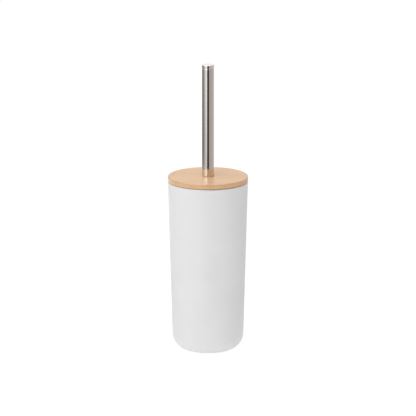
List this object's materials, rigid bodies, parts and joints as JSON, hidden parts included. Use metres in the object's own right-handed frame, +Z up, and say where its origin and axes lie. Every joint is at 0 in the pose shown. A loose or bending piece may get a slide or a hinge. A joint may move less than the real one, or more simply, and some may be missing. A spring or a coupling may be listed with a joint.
{
  "type": "toilet brush holder",
  "caption": "Free-standing toilet brush and holder: tapered round-bottomed white cup, bamboo disc lid fixed to the brush's stem, straight steel tube handle, tufted head inside.",
  "frame": {"origin": "on the axis of cup, lid and handle, in the plane that the foot ring stands on", "axes": "+Z up along the axis of cup and handle; +X and +Y level"},
  "size_m": [0.098, 0.098, 0.3555],
  "materials": {
    "cup_white": "satin moulded polypropylene",
    "foot_grey": "matte thermoplastic rubber",
    "bamboo": "laminated bamboo strip, satin lacquer",
    "plug_white": "moulded polypropylene",
    "plug_grey": "moulded nylon",
    "washer_clear": "milky silicone",
    "satin_steel": "fine satin-ground stainless steel",
    "bright_steel": "bright-turned stainless steel",
    "zinc_steel": "zinc-plated steel",
    "nut_brass": "turned brass",
    "core_white": "moulded polypropylene",
    "bristle_white": "nylon monofilament bristle"
  },
  "bodies": {
    "holder": {"cup": "cup_white", "foot_ring": "foot_grey"},
    "stem": {"lid_board": "bamboo", "lid_plug": "plug_white", "lid_screws": "zinc_steel", "clamp_stud": "zinc_steel", "rod_top_plug": "plug_grey", "rod_tube": "satin_steel", "rod_bottom_plug": "plug_grey", "head_stud": "zinc_steel"},
    "handle_seat": {"handle_washer": "washer_clear"},
    "handle": {"handle_tube": "satin_steel", "handle_insert": "plug_grey", "handle_cap": "bright_steel"},
    "head_seat": {"head_washer": "washer_clear"},
    "head": {"brush_core": "core_white", "core_nut": "nut_brass", "tuft_anchors": "zinc_steel", "tuft_ring_1": "bristle_white", "tuft_ring_2": "bristle_white", "tuft_ring_3": "bristle_white", "tuft_ring_4": "bristle_white", "tuft_ring_5": "bristle_white", "tuft_ring_6": "bristle_white", "tuft_ring_7": "bristle_white", "dome_tufts_outer": "bristle_white", "dome_tufts_inner": "bristle_white", "tip_tuft": "bristle_white"}
  },
  "joints": [
    {"name": "brush_lift", "type": "slide", "parent": "holder", "child": "stem", "axis": [0, 0, 1], "range_m": [0, 0.26]},
    {"name": "handle_rise", "type": "slide", "parent": "stem", "child": "handle_seat", "axis": [0, 0, 1], "range_m": [0, 0.01]},
    {"name": "handle_unscrew", "type": "hinge", "parent": "handle_seat", "child": "handle", "pos_m": [0, 0, 0.218], "axis": [0, 0, 1], "range_deg": [0, 2890]},
    {"name": "head_drop", "type": "slide", "parent": "stem", "child": "head_seat", "axis": [0, 0, -1], "range_m": [0, 0.01]},
    {"name": "head_unscrew", "type": "hinge", "parent": "head_seat", "child": "head", "pos_m": [0, 0, 0.1264], "axis": [0, 0, -1], "range_deg": [0, 2890]}
  ],
  "couplings": [
    {"joint": "handle_unscrew", "follows": "handle_rise", "rad_per_m": 5026.5},
    {"joint": "head_unscrew", "follows": "head_drop", "rad_per_m": 5026.5}
  ]
}
